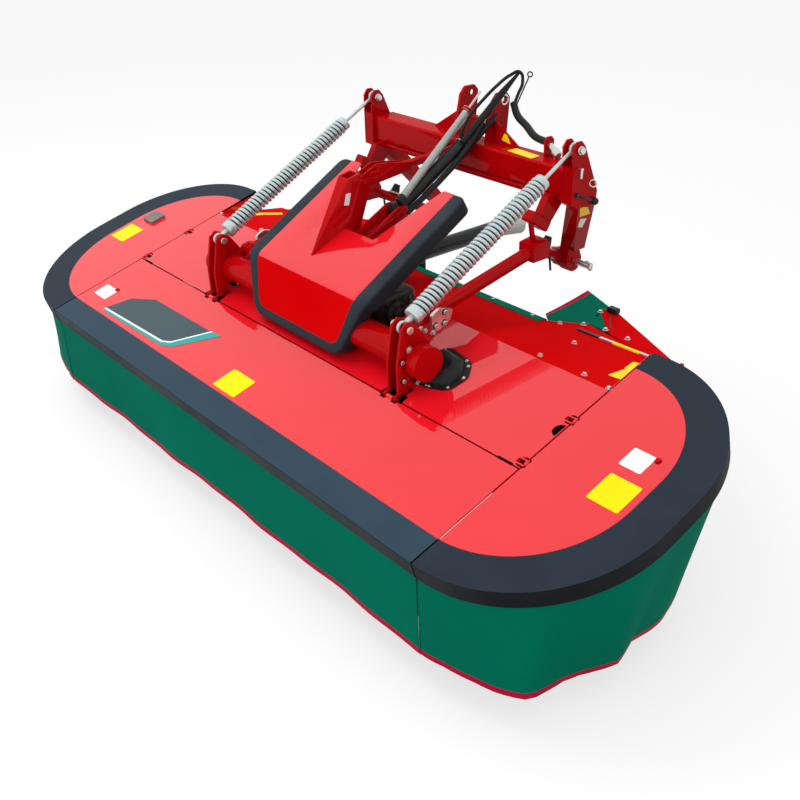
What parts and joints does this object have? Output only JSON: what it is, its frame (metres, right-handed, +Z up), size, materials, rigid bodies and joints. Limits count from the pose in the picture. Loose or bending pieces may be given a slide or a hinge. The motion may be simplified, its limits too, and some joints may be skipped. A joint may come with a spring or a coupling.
{
  "type": "front disc mower conditioner",
  "caption": "Front-mounted disc mower with a tine conditioner: hinged covers with cloth curtains, spring-hung on a three-point headstock.",
  "frame": {"origin": "centre of the footprint on the ground", "axes": "+X across to the right end, +Y back to the tractor, +Z up"},
  "size_m": [3.374, 1.6288, 1.459],
  "materials": {
    "panel_red": "gloss red paint",
    "frame_red": "gloss red paint on welded steel",
    "rim_plastic": "moulded anthracite plastic",
    "curtain_cloth": "coated green cloth",
    "zinc_steel": "zinc plated spring steel",
    "gear_housing": "black painted casting",
    "hard_steel": "hardened steel",
    "dark_paint": "black paint",
    "black_paint": "gloss black paint",
    "bright_steel": "machined steel",
    "black_rubber": "black rubber",
    "guard_plastic": "black moulded plastic"
  },
  "bodies": {
    "mower": {"main_beam": "frame_red", "side_frame_left": "frame_red", "side_frame_right": "frame_red", "cutter_bar": "gear_housing", "skids": "hard_steel", "deck_panel": "panel_red", "rear_hood": "panel_red", "rear_flap": "curtain_cloth", "conditioner_shell": "dark_paint", "carrier_tube": "frame_red", "spring_bracket_left": "frame_red", "spring_bracket_right": "frame_red", "spring_left": "zinc_steel", "spring_right": "zinc_steel", "headstock": "frame_red", "link_mast": "frame_red", "upper_link": "frame_red", "lower_arm_left": "frame_red", "lower_arm_right": "frame_red", "arm_bracket_left": "frame_red", "arm_bracket_right": "frame_red", "lift_cylinder": "black_paint", "lift_rod": "bright_steel", "cowl_trim": "rim_plastic", "cowl_panel": "panel_red", "gearbox": "gear_housing", "shaft_guard": "guard_plastic", "swath_board_left": "frame_red", "swath_board_right": "frame_red", "swath_cloth_left": "curtain_cloth", "swath_cloth_right": "curtain_cloth", "height_gauge": "zinc_steel", "hose_sleeve": "black_rubber", "lift_hose": "black_rubber", "bump_stop_left": "black_rubber", "bump_stop_right": "black_rubber", "boot_left": "black_rubber", "boot_right": "black_rubber"},
    "front_cover": {"front_cover": "panel_red", "front_rim": "rim_plastic", "front_curtain": "curtain_cloth"},
    "side_cover_left": {"side_cover_left": "panel_red", "side_rim_left": "rim_plastic", "side_curtain_left": "curtain_cloth"},
    "side_cover_right": {"side_cover_right": "panel_red", "side_rim_right": "rim_plastic", "side_curtain_right": "curtain_cloth"},
    "disc_1": {"disc_1": "hard_steel"},
    "disc_2": {"disc_2": "hard_steel"},
    "disc_3": {"disc_3": "hard_steel"},
    "disc_4": {"disc_4": "hard_steel"},
    "disc_5": {"disc_5": "hard_steel"},
    "disc_6": {"disc_6": "hard_steel"},
    "disc_7": {"disc_7": "hard_steel"},
    "disc_8": {"disc_8": "hard_steel"},
    "conditioner_rotor": {"conditioner_rotor": "dark_paint"},
    "drive_shaft": {"drive_shaft": "bright_steel"},
    "stand_left": {"stand_left": "frame_red"},
    "stand_right": {"stand_right": "frame_red"}
  },
  "joints": [
    {"name": "front_cover_hinge", "type": "hinge", "parent": "mower", "child": "front_cover", "pos_m": [0, -0.38619, 0.60192], "axis": [-1, 0, 0], "range_deg": [0, 75]},
    {"name": "side_cover_left_hinge", "type": "hinge", "parent": "mower", "child": "side_cover_left", "pos_m": [-1.183, -0.28979, 0.62853], "axis": [0, 0.9613, 0.2756], "range_deg": [0, 90]},
    {"name": "side_cover_right_hinge", "type": "hinge", "parent": "mower", "child": "side_cover_right", "pos_m": [1.183, -0.28979, 0.62853], "axis": [0, -0.9613, -0.2756], "range_deg": [0, 90]},
    {"name": "rotor_spin", "type": "hinge", "parent": "mower", "child": "conditioner_rotor", "pos_m": [0, 0.03436, 0.36], "axis": [-1, 0, 0], "continuous": true},
    {"name": "shaft_spin", "type": "hinge", "parent": "mower", "child": "drive_shaft", "pos_m": [0, 0.51436, 0.79], "axis": [0, 1, 0], "continuous": true},
    {"name": "disc_1_spin", "type": "hinge", "parent": "mower", "child": "disc_1", "pos_m": [-1.3475, -0.46564, 0.11], "axis": [0, 0, 1], "continuous": true},
    {"name": "disc_2_spin", "type": "hinge", "parent": "mower", "child": "disc_2", "pos_m": [-0.9625, -0.46564, 0.11], "axis": [0, 0, 1], "continuous": true},
    {"name": "disc_3_spin", "type": "hinge", "parent": "mower", "child": "disc_3", "pos_m": [-0.5775, -0.46564, 0.11], "axis": [0, 0, 1], "continuous": true},
    {"name": "disc_4_spin", "type": "hinge", "parent": "mower", "child": "disc_4", "pos_m": [-0.1925, -0.46564, 0.11], "axis": [0, 0, 1], "continuous": true},
    {"name": "disc_5_spin", "type": "hinge", "parent": "mower", "child": "disc_5", "pos_m": [0.1925, -0.46564, 0.11], "axis": [0, 0, 1], "continuous": true},
    {"name": "disc_6_spin", "type": "hinge", "parent": "mower", "child": "disc_6", "pos_m": [0.5775, -0.46564, 0.11], "axis": [0, 0, 1], "continuous": true},
    {"name": "disc_7_spin", "type": "hinge", "parent": "mower", "child": "disc_7", "pos_m": [0.9625, -0.46564, 0.11], "axis": [0, 0, 1], "continuous": true},
    {"name": "disc_8_spin", "type": "hinge", "parent": "mower", "child": "disc_8", "pos_m": [1.3475, -0.46564, 0.11], "axis": [0, 0, 1], "continuous": true},
    {"name": "stand_left_slide", "type": "slide", "parent": "mower", "child": "stand_left", "axis": [0, 0, 1], "range_m": [0, 0.2]},
    {"name": "stand_right_slide", "type": "slide", "parent": "mower", "child": "stand_right", "axis": [0, 0, 1], "range_m": [0, 0.2]}
  ],
  "couplings": [
    {"joint": "shaft_spin", "follows": "rotor_spin", "ratio": 1},
    {"joint": "disc_1_spin", "follows": "rotor_spin", "ratio": 3},
    {"joint": "disc_2_spin", "follows": "rotor_spin", "ratio": -3},
    {"joint": "disc_3_spin", "follows": "rotor_spin", "ratio": 3},
    {"joint": "disc_4_spin", "follows": "rotor_spin", "ratio": -3},
    {"joint": "disc_5_spin", "follows": "rotor_spin", "ratio": 3},
    {"joint": "disc_6_spin", "follows": "rotor_spin", "ratio": -3},
    {"joint": "disc_7_spin", "follows": "rotor_spin", "ratio": 3},
    {"joint": "disc_8_spin", "follows": "rotor_spin", "ratio": -3}
  ]
}
